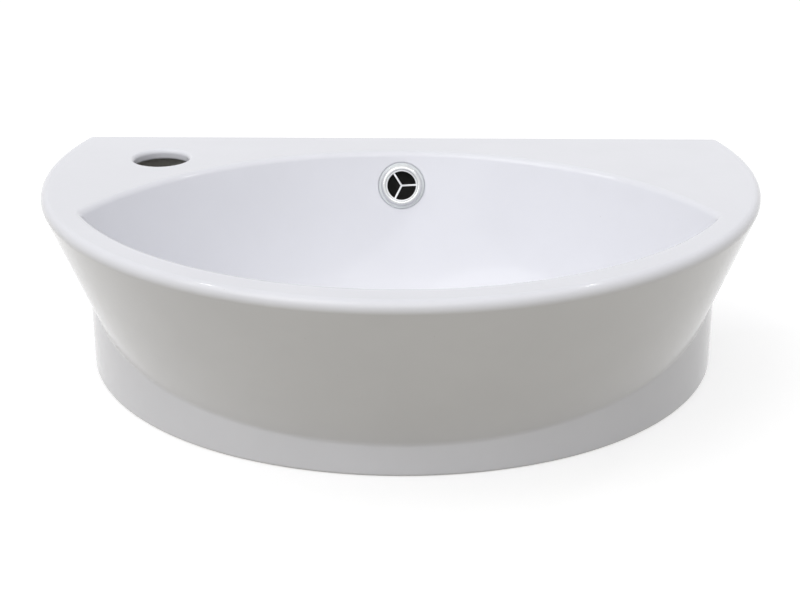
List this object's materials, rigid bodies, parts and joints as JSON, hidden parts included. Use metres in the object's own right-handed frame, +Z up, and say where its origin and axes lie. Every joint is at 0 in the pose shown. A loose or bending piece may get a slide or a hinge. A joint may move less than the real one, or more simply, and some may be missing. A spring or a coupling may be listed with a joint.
{
  "type": "semi recessed basin",
  "caption": "Half-round ceramic wash basin with a flat back, a pointed-oval bowl, a tap hole to one side, an overflow cover and a push-to-close waste.",
  "frame": {"origin": "on the flat back, midway between the two wall-fixing holes", "axes": "+X to the right seen from the front, +Y out of the back into the wall, +Z up"},
  "size_m": [0.4498, 0.2998, 0.167],
  "materials": {
    "glaze": "glossy white glaze",
    "pale_plastic": "glossy, slightly milky",
    "chrome": "polished",
    "dull_metal": "satin",
    "brass": "machined",
    "rubber": "matt",
    "hard_plastic": "matt",
    "steel": "bright drawn"
  },
  "bodies": {
    "basin": {"basin_body": "glaze", "overflow_collar": "pale_plastic", "overflow_ring": "chrome", "overflow_grille": "dull_metal", "waste_body": "chrome", "flange_seal": "rubber", "tail_washer": "rubber", "slip_washer": "hard_plastic", "backnut": "brass", "latch_barrel": "brass", "barrel_bush": "brass", "barrel_end": "brass", "plug_spring": "steel"},
    "plug": {"plug_cap": "chrome", "plug_seal": "rubber", "plunger": "brass"},
    "latch": {"latch_ring": "steel", "latch_pin": "steel"}
  },
  "joints": [
    {"name": "plug_slide", "type": "slide", "parent": "basin", "child": "plug", "axis": [0, 0, 1], "range_m": [-0.009, 0], "stiffness_N_per_m": 300, "springref_m": 0.02, "deforming": ["plug_spring"]},
    {"name": "latch_turn", "type": "hinge", "parent": "basin", "child": "latch", "pos_m": [0, -0.142, -0.0622], "axis": [0, 0, 1], "range_deg": [0, 16]}
  ],
  "couplings": [
    {"joint": "latch_turn", "follows": "plug_slide", "rad_per_m": -31}
  ]
}
